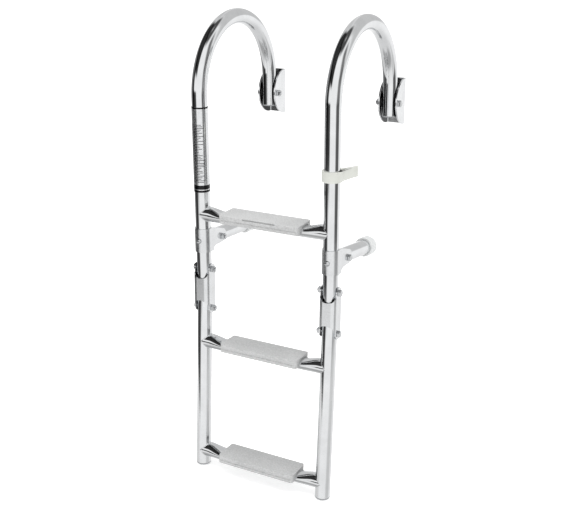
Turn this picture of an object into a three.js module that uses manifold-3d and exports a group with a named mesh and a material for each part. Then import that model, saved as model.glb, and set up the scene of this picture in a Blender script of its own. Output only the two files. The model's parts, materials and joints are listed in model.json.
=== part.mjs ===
// Folding stainless-steel boarding ladder for a boat, in millimetres.
// +X is the climber's right, +Y points at the hull and +Z is up. The origin lies in the plane of the two
// bracket backs, midway between them and level with the bolts that the ladder hangs on.

import * as THREE from 'three';
import { mergeVertices } from 'three/addons/utils/BufferGeometryUtils.js';
import Module from 'manifold-3d';

const wasm = await Module();
wasm.setup();

// ---------------------------------------------------------------------------------------------------------
// Driving dimensions
// ---------------------------------------------------------------------------------------------------------
const DEG = Math.PI / 180;
const TUBE_R = 12.5;                 // every stile, rung and arm is 25 mm tube
const TUBE_WALL = 1.5;
const GAP = 0.3;                     // clearance between neighbouring pieces
const TUBE_SIDES = 20;

const STILE_X = 116;                 // stile axis from the middle of the ladder
const HOOK_R = 116.5;                // centreline radius of the hook
const HOOK_STEPS = 16;
const PIN_TO_HULL = 33;              // mount bolt axis in front of the bracket backs
const RUNG_DROP = 164;               // top rung below the mount bolts
const HOOK_CENTRE_Z = 192;           // heights from here on are measured from the top rung
const LEG_END_Z = 142.5;
const STILE_Y = -PIN_TO_HULL - 2 * HOOK_R;

const UPPER_PIN_Z = -96;
const PIN_SPACING = 69;              // between the two bolts of a fold hinge
const BUTT_GAP = 4;                  // between the upper and lower tube ends
const LINK_LEAN = 1.5;               // degrees that the hinge slack lets the links lean forward
const LOWER_LEAN = 2.4;              // and the lower section beyond them
const MID_RUNG_DROP = 60;            // below the lower hinge bolt, along the lower stiles
const BOTTOM_RUNG_DROP = 263.5;
const FOOT_DROP = 289;

const BRACKET = { height: 79, depth: 44, gapHalf: 14.3, sheet: 2.5, bend: 4, holeZ: 15, holeR: 3.3 };
const WASHER = { thickness: 1.2, radius: 8 };
const CHANNEL = { half: 14.6, sheet: 1.7, bend: 6.5, earY: 0.6, earR: 9.2, notchSide: 7.2, notchDepth: 8 };
const COLLAR = { inner: 12.8, sheet: 1.5, top: -25, bottom: -65, rivetZ: -45, backAtStile: 9 };
const ARM = { pivotY: 36, pivotZ: -49, length: 112, leftDroop: 5, rightDroop: 9 };
const BUMPER = { radius: 16.5, length: 24, overlap: 17, round: 5 };
const PRESS = { flat: 73, full: 101, side: 15, top: 6 };
const TREAD = { half: 71, back: 22.5, front: 26, top: 9.4, bottom: -4.4, edge: 2, corner: 5.5 };
const GROOVE = { z: 1.6, width: 2.4, depth: 0.8 };
const SLOT = { from: -26, to: 30, z: 7.9, height: 2.4, depth: 1 };
const CLIP = { z: 83, height: 16.5, ringR: 15.9, reach: 43, tipX: 24, wall: 2.8 };
const LABEL = { bottom: 38, top: 177, thickness: 0.35 };

const BOLT = { shankR: 3, holeR: 3.3, headR: 5.77, headH: 4, nutH: 5.6, tail: 2 };

// ---------------------------------------------------------------------------------------------------------
// Materials
// ---------------------------------------------------------------------------------------------------------
const steel = (color, roughness) => new THREE.MeshStandardMaterial({ color, roughness, metalness: 1 });
const plastic = (color, roughness) => new THREE.MeshStandardMaterial({ color, roughness, metalness: 0 });
const finish = {
  tube: steel(0xcfd2d4, 0.12),
  sheet: steel(0xc4c7c9, 0.2),
  bolt: steel(0xb9bcbe, 0.28),
  tread: plastic(0xc9cbcc, 0.7),
  clip: plastic(0xd6d8d0, 0.45),
  bumper: plastic(0xf0f1f1, 0.4),
  plug: plastic(0x9ea3a6, 0.6),
  washer: plastic(0x1c1c1c, 0.5),
  label: plastic(0xaeb2b4, 0.4),
};

// ---------------------------------------------------------------------------------------------------------
// Solids
// ---------------------------------------------------------------------------------------------------------
function solid(geometry) {
  const bare = geometry.index ? geometry.toNonIndexed() : geometry.clone();
  bare.deleteAttribute('normal');
  bare.deleteAttribute('uv');
  const merged = mergeVertices(bare, 1e-4);
  return new wasm.Manifold(new wasm.Mesh({
    numProp: 3,
    vertProperties: new Float32Array(merged.attributes.position.array),
    triVerts: new Uint32Array(merged.index.array),
  }));
}

function geometryOf(body) {
  const { numProp, vertProperties, triVerts } = body.getMesh();
  const positions = new Float32Array((vertProperties.length / numProp) * 3);
  for (let i = 0; i < positions.length / 3; i += 1) {
    for (let axis = 0; axis < 3; axis += 1) positions[3 * i + axis] = vertProperties[numProp * i + axis];
  }
  const geometry = new THREE.BufferGeometry();
  geometry.setAttribute('position', new THREE.BufferAttribute(positions, 3));
  geometry.setIndex(new THREE.BufferAttribute(new Uint32Array(triVerts), 1));
  geometry.computeVertexNormals();
  return geometry;
}

function addMesh(parent, name, shape, material, position = [0, 0, 0]) {
  const geometry = shape.isBufferGeometry ? shape : geometryOf(shape);
  const mesh = new THREE.Mesh(geometry, material);
  mesh.name = name;
  mesh.position.set(...position);
  parent.add(mesh);
  return mesh;
}

function addGroup(parent, position = [0, 0, 0], tiltX = 0) {
  const group = new THREE.Group();
  group.position.set(...position);
  group.rotation.x = tiltX * DEG;
  parent.add(group);
  return group;
}

/** A shape through [x, y] corners. */
function outline(points) {
  return new THREE.Shape(points.map(([x, y]) => new THREE.Vector2(x, y)));
}

/** Extrudes a shape drawn in X and Y from z0 to z1. */
function prismZ(shape, z0, z1, curveSegments = 8) {
  const geometry = new THREE.ExtrudeGeometry(shape, { depth: z1 - z0, bevelEnabled: false, curveSegments });
  return geometry.translate(0, 0, z0);
}

/** Extrudes a shape drawn in Y and Z from x0 to x1. */
function prismX(shape, x0, x1, curveSegments = 8) {
  const geometry = new THREE.ExtrudeGeometry(shape, { depth: x1 - x0, bevelEnabled: false, curveSegments });
  return geometry.rotateY(Math.PI / 2).rotateX(Math.PI / 2).translate(x0, 0, 0);
}

/** A round bar along X, Y or Z, from a to b. */
function bar(axis, radius, a, b, sides = 16) {
  const geometry = new THREE.CylinderGeometry(radius, radius, b - a, sides);
  geometry.translate(0, (a + b) / 2, 0);
  if (axis === 'x') geometry.rotateZ(-Math.PI / 2);
  if (axis === 'z') geometry.rotateX(Math.PI / 2);
  return geometry;
}

const barSolid = (...args) => solid(bar(...args));

function ringShape(outer, inner) {
  const shape = new THREE.Shape().absarc(0, 0, outer, 0, 2 * Math.PI, false);
  shape.holes.push(new THREE.Path().absarc(0, 0, inner, 0, 2 * Math.PI, true));
  return shape;
}

/** A straight tube along Z. */
function tubeZ(outer, inner, z0, z1, sides = TUBE_SIDES) {
  return prismZ(ringShape(outer, inner), z0, z1, sides / 2);
}

/** A turned piece: the profile's [radius, height] corners go round the Y axis, starting and ending on it. */
function turned(profile, sides = 24) {
  return new THREE.LatheGeometry(profile.map(([r, y]) => new THREE.Vector2(r, y)), sides);
}

/** Arc corners for a profile, counted from angle a to angle b in degrees. */
function arc(cx, cy, radius, a, b, steps) {
  return Array.from({ length: steps + 1 }, (_, i) => {
    const angle = (a + ((b - a) * i) / steps) * DEG;
    return [cx + radius * Math.cos(angle), cy + radius * Math.sin(angle)];
  });
}

// ---------------------------------------------------------------------------------------------------------
// Fasteners, along X with the head on the +X side and the middle of the grip at the origin
// ---------------------------------------------------------------------------------------------------------
function hexBolt(grip) {
  const head = new THREE.CylinderGeometry(BOLT.headR, BOLT.headR, BOLT.headH, 6);
  head.rotateZ(-Math.PI / 2).translate(grip / 2 + GAP + BOLT.headH / 2, 0, 0);
  const end = -grip / 2 - BOLT.nutH - BOLT.tail;
  return solid(head).add(barSolid('x', BOLT.shankR, end, grip / 2 + BOLT.headH, 12));
}

function hexNut(grip) {
  const nut = new THREE.CylinderGeometry(BOLT.headR, BOLT.headR, BOLT.nutH, 6);
  nut.rotateZ(-Math.PI / 2).translate(-grip / 2 - GAP - BOLT.nutH / 2, 0, 0);
  return solid(nut).subtract(barSolid('x', BOLT.holeR, -grip, 0, 12));
}

/** A bolt and its nut across a grip, with the head facing outboard on the given side of the ladder. */
function addBolt(parent, name, side, grip, position) {
  const [bolt, nut] = [geometryOf(hexBolt(grip)), geometryOf(hexNut(grip))];
  if (side < 0) [bolt, nut].forEach((geometry) => geometry.rotateZ(Math.PI));
  addMesh(parent, `${name}_bolt`, bolt, finish.bolt, position);
  addMesh(parent, `${name}_nut`, nut, finish.bolt, position);
}

// ---------------------------------------------------------------------------------------------------------
// Mount brackets: folded sheet with two half-moon ears, origin on the bolt axis
// ---------------------------------------------------------------------------------------------------------
function mountBracket() {
  const { height, depth, gapHalf, sheet, bend, holeZ, holeR } = BRACKET;
  const outer = gapHalf + sheet;
  const inner = bend - sheet;
  const back = PIN_TO_HULL;
  const front = back - depth;
  const section = outline([
    [outer, front],
    ...arc(outer - bend, back - bend, bend, 0, 90, 3),
    ...arc(-outer + bend, back - bend, bend, 90, 180, 3),
    [-outer, front], [-gapHalf, front],
    ...arc(-gapHalf + inner, back - bend, inner, 180, 90, 3),
    ...arc(gapHalf - inner, back - bend, inner, 90, 0, 3),
    [gapHalf, front],
  ]);
  const radius = height / 2;
  const halfMoon = outline([
    [back + 1, -radius], [back + 1, radius],
    ...arc(front + radius, 0, radius, 90, 270, 20),
  ]);
  const body = solid(prismZ(section, -radius, radius))
    .intersect(solid(prismX(halfMoon, -outer - 1, outer + 1)))
    .subtract(barSolid('x', BOLT.holeR, -outer - 1, outer + 1));
  return [-holeZ, holeZ].reduce((plate, z) => {
    const hole = bar('y', holeR, back - 2 * sheet, back + 1).translate(0, 0, z);
    return plate.subtract(solid(hole));
  }, body);
}

function washer() {
  const { thickness, radius } = WASHER;
  const geometry = tubeZ(radius, BOLT.holeR, -thickness / 2, thickness / 2, 16);
  return geometry.rotateY(Math.PI / 2);
}

// ---------------------------------------------------------------------------------------------------------
// Rails
// ---------------------------------------------------------------------------------------------------------
/** Up the stile, over the half-circle hook and down the short leg, with one step for each straight. */
class RailPath extends THREE.Curve {
  constructor(start) {
    super();
    this.start = start;
    this.steps = HOOK_STEPS + 2;
  }

  turn(t) {
    const step = t * this.steps - 1;
    return Math.PI * THREE.MathUtils.clamp(step / HOOK_STEPS, 0, 1);
  }

  getPoint(t, target = new THREE.Vector3()) {
    const angle = this.turn(t);
    const y = HOOK_R * (1 - Math.cos(angle));
    const z = HOOK_CENTRE_Z + HOOK_R * Math.sin(angle);
    const below = Math.max(0, 1 - t * this.steps) * (HOOK_CENTRE_Z - this.start);
    const along = Math.max(0, t * this.steps - HOOK_STEPS - 1) * (HOOK_CENTRE_Z - LEG_END_Z);
    return target.set(0, y, z - below - along);
  }

  getPointAt(t, target) {
    return this.getPoint(t, target);
  }

  getTangentAt(t, target = new THREE.Vector3()) {
    const angle = this.turn(t);
    return target.set(0, Math.sin(angle), Math.cos(angle));
  }
}

const UPPER_BUTT_Z = UPPER_PIN_Z - (PIN_SPACING - BUTT_GAP) / 2;

function upperRail() {
  const path = new RailPath(UPPER_BUTT_Z);
  const tube = new THREE.ExtrudeGeometry(ringShape(TUBE_R, TUBE_R - TUBE_WALL), {
    extrudePath: path, steps: path.steps, bevelEnabled: false, curveSegments: TUBE_SIDES / 2,
  });
  const drill = (y, z) => solid(bar('x', BOLT.holeR, -2 * TUBE_R, 2 * TUBE_R, 12).translate(0, y, z));
  const rivetHole = bar('y', RIVET.shankR + GAP, -2 * TUBE_R, 0, 10).translate(0, 0, COLLAR.rivetZ);
  return solid(tube)
    .subtract(drill(0, UPPER_PIN_Z))
    .subtract(drill(2 * HOOK_R, RUNG_DROP))
    .subtract(solid(rivetHole));
}

/** The lower stile, with the hinge bolt's axis at the origin. */
function lowerRail() {
  const top = (PIN_SPACING - BUTT_GAP) / 2;
  return solid(tubeZ(TUBE_R, TUBE_R - TUBE_WALL, -FOOT_DROP, top))
    .subtract(barSolid('x', BOLT.holeR, -2 * TUBE_R, 2 * TUBE_R, 12));
}

/** A closed skin through equal loops of points, capped at both ends. */
function loft(loops) {
  const count = loops[0].length;
  const positions = loops.flat(2);
  const index = [];
  for (let i = 0; i + 1 < loops.length; i += 1) {
    for (let j = 0; j < count; j += 1) {
      const [a, b] = [i * count + j, i * count + ((j + 1) % count)];
      index.push(a, b, b + count, a, b + count, a + count);
    }
  }
  const last = (loops.length - 1) * count;
  for (let j = 1; j + 1 < count; j += 1) index.push(0, j + 1, j, last, last + j, last + j + 1);
  const geometry = new THREE.BufferGeometry();
  geometry.setAttribute('position', new THREE.Float32BufferAttribute(positions, 3));
  geometry.setIndex(index);
  return geometry;
}

/** How far the rung is pressed down at a distance from its middle: 0 at the stiles, 1 under the tread. */
function pressed(x) {
  const t = THREE.MathUtils.clamp((PRESS.full - Math.abs(x)) / (PRESS.full - PRESS.flat), 0, 1);
  return 0.5 * t + 0.5 * t * t * (3 - 2 * t);
}

/** The rung's section at x, inset all round: a circle whose upper half is pressed down and spreads. */
function rungSection(x, inset, sides = TUBE_SIDES) {
  const share = pressed(x);
  const wide = TUBE_R + (PRESS.side - TUBE_R) * share - inset;
  const high = TUBE_R + (PRESS.top - TUBE_R) * share - inset;
  return Array.from({ length: sides }, (_, j) => {
    const angle = (2 * Math.PI * (j + 0.5)) / sides;
    const up = Math.sin(angle);
    return [x, wide * Math.cos(angle), (up > 0 ? high : TUBE_R - inset) * up];
  });
}

/** A rung pressed flatter on top where the tread sits, with its ends coped round the two stiles. */
function rung() {
  const stations = [-STILE_X, -PRESS.full];
  for (let i = 1; i <= 5; i += 1) stations.push(-PRESS.full + ((PRESS.full - PRESS.flat) * i) / 5);
  const all = [...stations, ...stations.map((x) => -x).reverse()];
  const body = solid(loft(all.map((x) => rungSection(x, 0))))
    .subtract(solid(loft(all.map((x, i) => {
      const past = i === 0 || i === all.length - 1 ? Math.sign(x) : 0;
      return rungSection(x, TUBE_WALL).map(([px, y, z]) => [px + past, y, z]);
    }))));
  return [-STILE_X, STILE_X].reduce((piece, x) => {
    const stile = bar('z', TUBE_R + GAP, -2 * TUBE_R, 2 * TUBE_R, 2 * TUBE_SIDES).translate(x, 0, 0);
    return piece.subtract(solid(stile));
  }, body);
}

/** A push-in plug for a tube end: a thin flange below z = 0 and a spigot in the bore above it. */
function plug(flange, spigot) {
  const bore = TUBE_R - TUBE_WALL - GAP;
  const shape = turned([
    [0, -flange], [TUBE_R - 1, -flange], [TUBE_R, -flange * 0.4], [TUBE_R, -GAP], [bore, -GAP],
    [bore, spigot - 1], [bore - 1, spigot], [0, spigot],
  ], TUBE_SIDES);
  return shape.rotateX(Math.PI / 2);
}

// ---------------------------------------------------------------------------------------------------------
// Treads: moulded slabs that clip over a rung's pressed middle, origin on the rung's axis
// ---------------------------------------------------------------------------------------------------------
function tread(slotted = false) {
  const { half, back, front, top, bottom, edge, corner } = TREAD;
  const seat = rungSection(0, -GAP, 2 * TUBE_SIDES).map(([, y, z]) => [y, z]).filter(([, z]) => z > bottom);
  const start = seat.findIndex(([y, z], i) => {
    const [nextY] = seat[(i + 1) % seat.length];
    return y < 0 && nextY > 0 && z < 0;
  }) + 1;
  const overSeat = [...seat.slice(start), ...seat.slice(0, start)].reverse();
  const lip = GROOVE.width / 2;
  const profile = outline([
    ...arc(back - edge, top - edge, edge, 0, 90, 4),
    ...arc(-front + edge, top - edge, edge, 90, 180, 4),
    [-front, GROOVE.z + lip], [-front + GROOVE.depth, GROOVE.z + lip - GROOVE.depth],
    [-front + GROOVE.depth, GROOVE.z - lip + GROOVE.depth], [-front, GROOVE.z - lip],
    [-front, bottom], [overSeat[0][0], bottom], ...overSeat,
    [overSeat[overSeat.length - 1][0], bottom], [back, bottom],
  ]);
  const plan = outline([
    ...arc(half - corner, back - corner, corner, 0, 90, 6),
    ...arc(-half + corner, back - corner, corner, 90, 180, 6),
    ...arc(-half + corner, -front + corner, corner, 180, 270, 6),
    ...arc(half - corner, -front + corner, corner, 270, 360, 6),
  ]);
  const body = solid(prismX(profile, -half - 1, half + 1)).intersect(solid(prismZ(plan, -top, 2 * top)));
  if (!slotted) return body;
  const slot = new THREE.BoxGeometry(SLOT.to - SLOT.from, 2 * SLOT.depth, SLOT.height);
  return body.subtract(solid(slot.translate((SLOT.from + SLOT.to) / 2, -front, SLOT.z)));
}

// ---------------------------------------------------------------------------------------------------------
// Standoffs: a strap round the stile, an arm hinged in its ears and a bumper
// ---------------------------------------------------------------------------------------------------------
const RIVET = { shankR: 2, headR: 4.4, headH: 2, shank: 4 };

function standoffCollar() {
  const { inner, sheet, top, bottom, rivetZ, backAtStile } = COLLAR;
  const outer = inner + sheet;
  const earEnd = ARM.pivotY + BOLT.headR + 6;
  const section = outline([
    [outer, earEnd], ...arc(0, 0, outer, 0, -180, 16), [-outer, earEnd],
    [-inner, earEnd], ...arc(0, 0, inner, 180, 360, 16), [inner, earEnd],
  ]);
  const earR = earEnd - ARM.pivotY;
  const side = outline([
    [-outer - 1, top], [backAtStile, top], ...arc(ARM.pivotY, ARM.pivotZ + 2, earR, 75, -80, 10),
    [backAtStile + 6, ARM.pivotZ - 9], [backAtStile, ARM.pivotZ - 12], [backAtStile, bottom],
    [-outer - 1, bottom],
  ]);
  const rivetHole = bar('y', RIVET.shankR + GAP, -2 * TUBE_R, 0, 10).translate(0, 0, rivetZ);
  const boltHole = bar('x', BOLT.holeR, -outer - 1, outer + 1).translate(0, ARM.pivotY, ARM.pivotZ);
  return solid(prismZ(section, bottom, top))
    .intersect(solid(prismX(side, -outer - 1, outer + 1)))
    .subtract(solid(rivetHole))
    .subtract(solid(boltHole));
}

/** A domed rivet from the strap's front face into the stile, with its axis along Y. */
function collarRivet() {
  const face = -(COLLAR.inner + COLLAR.sheet + GAP);
  const dome = arc(0, 0, 1, 90, 0, 4).map(([x, y]) => [RIVET.headR * x, face - RIVET.headH * y]);
  const shape = turned([[0, face - RIVET.headH], ...dome.slice(1), [RIVET.shankR, face],
    [RIVET.shankR, face + RIVET.shank], [0, face + RIVET.shank]], 16);
  return shape;
}

/**
 * The arm along +Y from its bolt. Its near end is rounded above, to swing up past the stile, and square
 * below, so that its lower corner meets the stile and stops the arm at its droop.
 */
function standoffArm(droop) {
  const room = ARM.pivotY - TUBE_R - GAP;
  const near = (room - TUBE_R * Math.sin(droop * DEG)) / Math.cos(droop * DEG);
  const tube = tubeZ(TUBE_R, TUBE_R - TUBE_WALL, -near, ARM.length).rotateX(-Math.PI / 2);
  const keep = outline([
    [ARM.length + 1, TUBE_R + 1], [0, TUBE_R + 1], ...arc(0, 0, near, 90, 180, 8),
    [-near, -TUBE_R - 1], [ARM.length + 1, -TUBE_R - 1],
  ]);
  const boltHole = barSolid('x', BOLT.holeR, -2 * TUBE_R, 2 * TUBE_R, 12);
  return solid(tube).intersect(solid(prismX(keep, -2 * TUBE_R, 2 * TUBE_R))).subtract(boltHole);
}

/** A cup over the arm's far end, with its axis along +Y and y = 0 at its mouth. */
function bumper() {
  const { radius, length, overlap, round } = BUMPER;
  const bore = TUBE_R + GAP;
  return turned([
    [0, overlap], [bore, overlap], [bore, 0], [radius - 1.5, 0], [radius, 1.5],
    ...arc(radius - round, length - round, round, 0, 90, 4), [0, length],
  ]);
}

function addStandoff(parent, name, side, droop) {
  const x = side * STILE_X;
  addMesh(parent, `${name}_standoff_collar`, standoffCollar(), finish.sheet, [x, 0, 0]);
  addMesh(parent, `${name}_collar_rivet`, collarRivet(), finish.bolt, [x, 0, COLLAR.rivetZ]);
  const grip = 2 * (COLLAR.inner + COLLAR.sheet);
  addBolt(parent, `${name}_standoff`, side, grip, [x, ARM.pivotY, ARM.pivotZ]);
  const arm = addGroup(parent, [x, ARM.pivotY, ARM.pivotZ], -droop);
  addMesh(arm, `${name}_standoff_arm`, standoffArm(droop), finish.tube);
  const mouth = ARM.length + GAP - BUMPER.overlap;
  addMesh(arm, `${name}_bumper`, bumper(), finish.bumper, [0, mouth, 0]);
}

// ---------------------------------------------------------------------------------------------------------
// Fold hinges: a folded channel over each joint, origin on the upper bolt's axis
// ---------------------------------------------------------------------------------------------------------
function hingeChannel() {
  const { half, sheet, bend, earY, earR, notchSide, notchDepth } = CHANNEL;
  const inner = half - sheet;
  const corner = bend - sheet;
  const back = earY + earR;
  const section = outline([
    [half, back],
    ...arc(half - bend, -half + bend, bend, 0, -90, 5),
    ...arc(-half + bend, -half + bend, bend, -90, -180, 5),
    [-half, back], [-inner, back],
    ...arc(-inner + corner, -inner + corner, corner, 180, 270, 5),
    ...arc(inner - corner, -inner + corner, corner, 270, 360, 5),
    [inner, back],
  ]);
  const side = outline([
    [-half - 1, -notchSide], [earY - earR, -notchSide], ...arc(earY, 0, earR, 180, 0, 16),
    ...arc(earY, -PIN_SPACING, earR, 0, -180, 16),
    [earY - earR, -PIN_SPACING + notchSide], [-half - 1, -PIN_SPACING + notchSide],
  ]);
  const holes = [0, -PIN_SPACING].map((z) => bar('x', BOLT.holeR, -half - 1, half + 1).translate(0, 0, z));
  const scoopR = inner - 0.1;
  const notches = [-notchSide, -PIN_SPACING + notchSide].map((z) => {
    const scoop = bar('y', scoopR, -half - 1, -half + bend, 28);
    return scoop.scale(1, 1, notchDepth / scoopR).translate(0, 0, z);
  });
  const channel = solid(prismZ(section, -PIN_SPACING - earR - 1, earR + 1))
    .intersect(solid(prismX(side, -half - 1, half + 1)));
  return [...holes, ...notches].reduce((body, cut) => body.subtract(solid(cut)), channel);
}

function addHinge(parent, name, side) {
  const x = side * STILE_X;
  const grip = 2 * CHANNEL.half;
  addMesh(parent, `${name}_hinge_channel`, hingeChannel(), finish.sheet, [x, 0, 0]);
  addBolt(parent, `${name}_upper_hinge`, side, grip, [x, 0, 0]);
  addBolt(parent, `${name}_lower_hinge`, side, grip, [x, 0, -PIN_SPACING]);
}

// ---------------------------------------------------------------------------------------------------------
// Storage clip: a ring that turns on the right stile, with a hooked finger
// ---------------------------------------------------------------------------------------------------------
function storageClip() {
  const { height, ringR, reach, tipX, wall } = CLIP;
  const bore = TUBE_R + GAP;
  const ring = solid(prismZ(ringShape(ringR, bore), 0, height, 16));
  const finger = outline([
    ...arc(0, 0, ringR - 0.4, -20, 20, 4), [tipX - 3.5, reach - 12], [tipX, reach],
    [tipX - wall, reach + 1.5], [tipX - wall - 4.5, reach - 7], [tipX - wall - 9, reach - 15],
    ...arc(0, 0, ringR - 0.4, 75, 60, 2), [tipX - wall - 6, reach - 20], [bore + 1.2, bore - 3],
  ]);
  return ring.add(solid(prismZ(finger, 0, height)));
}

// ---------------------------------------------------------------------------------------------------------
// Assembly
// ---------------------------------------------------------------------------------------------------------
const ladder = new THREE.Group();
const SIDES = [['left', -1], ['right', 1]];

for (const [name, side] of SIDES) {
  const at = [side * STILE_X, -PIN_TO_HULL, 0];
  addMesh(ladder, `${name}_mount_bracket`, mountBracket(), finish.sheet, at);
  addBolt(ladder, `${name}_mount`, side, 2 * (BRACKET.gapHalf + BRACKET.sheet), at);
  for (const [place, way] of [['inner', -side], ['outer', side]]) {
    const offset = way * (TUBE_R + GAP + WASHER.thickness / 2);
    addMesh(ladder, `${name}_${place}_washer`, washer(), finish.washer, [at[0] + offset, at[1], 0]);
  }
}

const upper = addGroup(ladder, [0, STILE_Y, -RUNG_DROP]);
for (const [name, side] of SIDES) {
  const x = side * STILE_X;
  addMesh(upper, `${name}_upper_rail`, upperRail(), finish.tube, [x, 0, 0]);
  addMesh(upper, `${name}_hook_plug`, plug(1.6, 10), finish.plug, [x, 2 * HOOK_R, LEG_END_Z]);
  addMesh(upper, `${name}_upper_joint_plug`, plug(1, 8), finish.plug, [x, 0, UPPER_BUTT_Z]);
}
addMesh(upper, 'top_rung', rung(), finish.tube);
addMesh(upper, 'top_tread', tread(true), finish.tread);
addStandoff(upper, 'left', -1, ARM.leftDroop);
addStandoff(upper, 'right', 1, ARM.rightDroop);
const labelBore = TUBE_R + GAP;
const labelSleeve = tubeZ(labelBore + LABEL.thickness, labelBore, LABEL.bottom, LABEL.top);
addMesh(upper, 'label_sleeve', labelSleeve, finish.label, [-STILE_X, 0, 0]);
addMesh(upper, 'storage_clip', storageClip(), finish.clip, [STILE_X, 0, CLIP.z]);

const links = addGroup(upper, [0, 0, UPPER_PIN_Z], -LINK_LEAN);
for (const [name, side] of SIDES) addHinge(links, name, side);

const lower = addGroup(links, [0, 0, -PIN_SPACING], -LOWER_LEAN);
for (const [name, side] of SIDES) {
  const x = side * STILE_X;
  addMesh(lower, `${name}_lower_rail`, lowerRail(), finish.tube, [x, 0, 0]);
  addMesh(lower, `${name}_foot_plug`, plug(2, 12), finish.plug, [x, 0, -FOOT_DROP]);
  const jointPlug = plug(1, 8).rotateX(Math.PI);
  addMesh(lower, `${name}_lower_joint_plug`, jointPlug, finish.plug, [x, 0, (PIN_SPACING - BUTT_GAP) / 2]);
}
for (const [name, drop] of [['mid', MID_RUNG_DROP], ['bottom', BOTTOM_RUNG_DROP]]) {
  addMesh(lower, `${name}_rung`, rung(), finish.tube, [0, 0, -drop]);
  addMesh(lower, `${name}_tread`, tread(), finish.tread, [0, 0, -drop]);
}

export default ladder;
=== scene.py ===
"""Looks for the folding boarding ladder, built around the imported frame. Lengths are in millimetres until
a piece is placed. The frame, every finished mesh, every material and the camera are in metres."""
import json
import math

import bmesh
import bpy
from mathutils import Matrix, Vector

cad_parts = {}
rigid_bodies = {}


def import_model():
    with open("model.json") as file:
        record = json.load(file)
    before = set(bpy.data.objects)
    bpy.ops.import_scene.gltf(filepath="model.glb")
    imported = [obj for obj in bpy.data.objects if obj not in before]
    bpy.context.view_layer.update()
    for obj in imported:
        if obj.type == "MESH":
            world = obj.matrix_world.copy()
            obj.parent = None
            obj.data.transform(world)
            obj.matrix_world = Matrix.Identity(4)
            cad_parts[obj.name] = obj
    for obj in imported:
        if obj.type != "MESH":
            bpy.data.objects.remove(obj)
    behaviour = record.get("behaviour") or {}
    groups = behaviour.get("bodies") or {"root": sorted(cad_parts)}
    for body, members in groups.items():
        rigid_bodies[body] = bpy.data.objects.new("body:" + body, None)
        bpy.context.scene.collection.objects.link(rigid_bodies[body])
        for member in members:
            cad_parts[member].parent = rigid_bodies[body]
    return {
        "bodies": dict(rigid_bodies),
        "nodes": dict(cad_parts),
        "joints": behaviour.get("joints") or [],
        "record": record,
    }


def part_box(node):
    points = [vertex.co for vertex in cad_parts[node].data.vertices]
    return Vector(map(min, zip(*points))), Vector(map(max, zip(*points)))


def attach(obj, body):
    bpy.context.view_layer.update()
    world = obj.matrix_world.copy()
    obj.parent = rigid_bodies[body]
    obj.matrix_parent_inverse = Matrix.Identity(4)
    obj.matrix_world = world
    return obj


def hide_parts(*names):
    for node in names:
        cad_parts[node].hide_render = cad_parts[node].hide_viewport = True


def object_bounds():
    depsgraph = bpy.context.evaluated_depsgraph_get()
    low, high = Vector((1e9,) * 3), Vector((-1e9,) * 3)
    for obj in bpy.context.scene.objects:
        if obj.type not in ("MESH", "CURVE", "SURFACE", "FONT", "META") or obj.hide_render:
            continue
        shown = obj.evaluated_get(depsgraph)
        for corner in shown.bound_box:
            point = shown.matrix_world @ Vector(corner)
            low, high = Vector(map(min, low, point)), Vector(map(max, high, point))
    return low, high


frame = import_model()
cad_low, cad_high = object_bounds()
MM = 0.001
TAU = 2 * math.pi

# Sizes that the frame doesn't give, as in the CAD
WALL = 1.5                      # of every tube
GAP = 0.3                       # clearance between neighbouring pieces
BUTT_GAP = 4                    # between the ends of the upper and lower stiles
FOOT_DROP = 289                 # from the lower hinge bolts to the ends of the stiles
BRACKET_GAP = 14.3              # from the middle of a bracket to its inner faces
SCREW_DROP = 15                 # from a mount bolt to each screw hole of its bracket
HOOK_FLANGE, JOINT_FLANGE, FOOT_FLANGE = 1.6, 1.0, 2.0
PRESS_FLAT, PRESS_FULL = 73, 101    # from a rung's middle to the end of its flat, and to where it is round
PRESS_SIDE, PRESS_TOP = 15, 6       # the flat's half width, and its height above the tube's axis


# ------------------------------------------------------------------------------------------------
# Places, read from the CAD
# ------------------------------------------------------------------------------------------------
def box_mm(node):
    low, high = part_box(node)
    return low / MM, high / MM


def centre_mm(node):
    low, high = box_mm(node)
    return (low + high) / 2


joints = {j["name"]: j for j in frame["joints"]}
rail_low, rail_high = box_mm("right_upper_rail")
TUBE_R = (rail_high.x - rail_low.x) / 2
STILE_X = (rail_high.x + rail_low.x) / 2
STILE_Y = rail_low.y + TUBE_R
LEG_Y = rail_high.y - TUBE_R
HOOK_R = (LEG_Y - STILE_Y) / 2
HOOK_Z = rail_high.z - TUBE_R - HOOK_R
BUTT_Z = rail_low.z
LEG_END = box_mm("right_hook_plug")[0].z + HOOK_FLANGE
RUNG_Z = centre_mm("top_rung").z
MOUNT = Vector(joints["mount_pivot"]["pos_m"]) / MM
UPPER_PIN = Vector(joints["upper_fold"]["pos_m"]) / MM
LOWER_PIN = Vector(joints["lower_fold"]["pos_m"]) / MM
PIN_SPACING = (UPPER_PIN - LOWER_PIN).length
link_lean = math.atan2(UPPER_PIN.y - LOWER_PIN.y, UPPER_PIN.z - LOWER_PIN.z)
lower_lean = math.radians(sum(joints[f"{fold}_fold"]["range_deg"][1] for fold in ("upper", "lower")))
arm_pivot = joints["left_standoff_pivot"]["pos_m"]
ARM_Y, ARM_Z = arm_pivot[1] / MM - STILE_Y, arm_pivot[2] / MM - RUNG_Z

UPPER = Matrix.Translation((0, STILE_Y, RUNG_Z))
LINKS = Matrix.Translation(UPPER_PIN) @ Matrix.Rotation(-link_lean, 4, "X")
LOWER = Matrix.Translation(LOWER_PIN) @ Matrix.Rotation(-lower_lean, 4, "X")
SIDES = (("left", -1), ("right", 1))


def along_lower(node):
    """Height of a node's middle along the lower stiles, from the lower hinge bolts."""
    return (LOWER.inverted() @ centre_mm(node)).z


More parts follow.
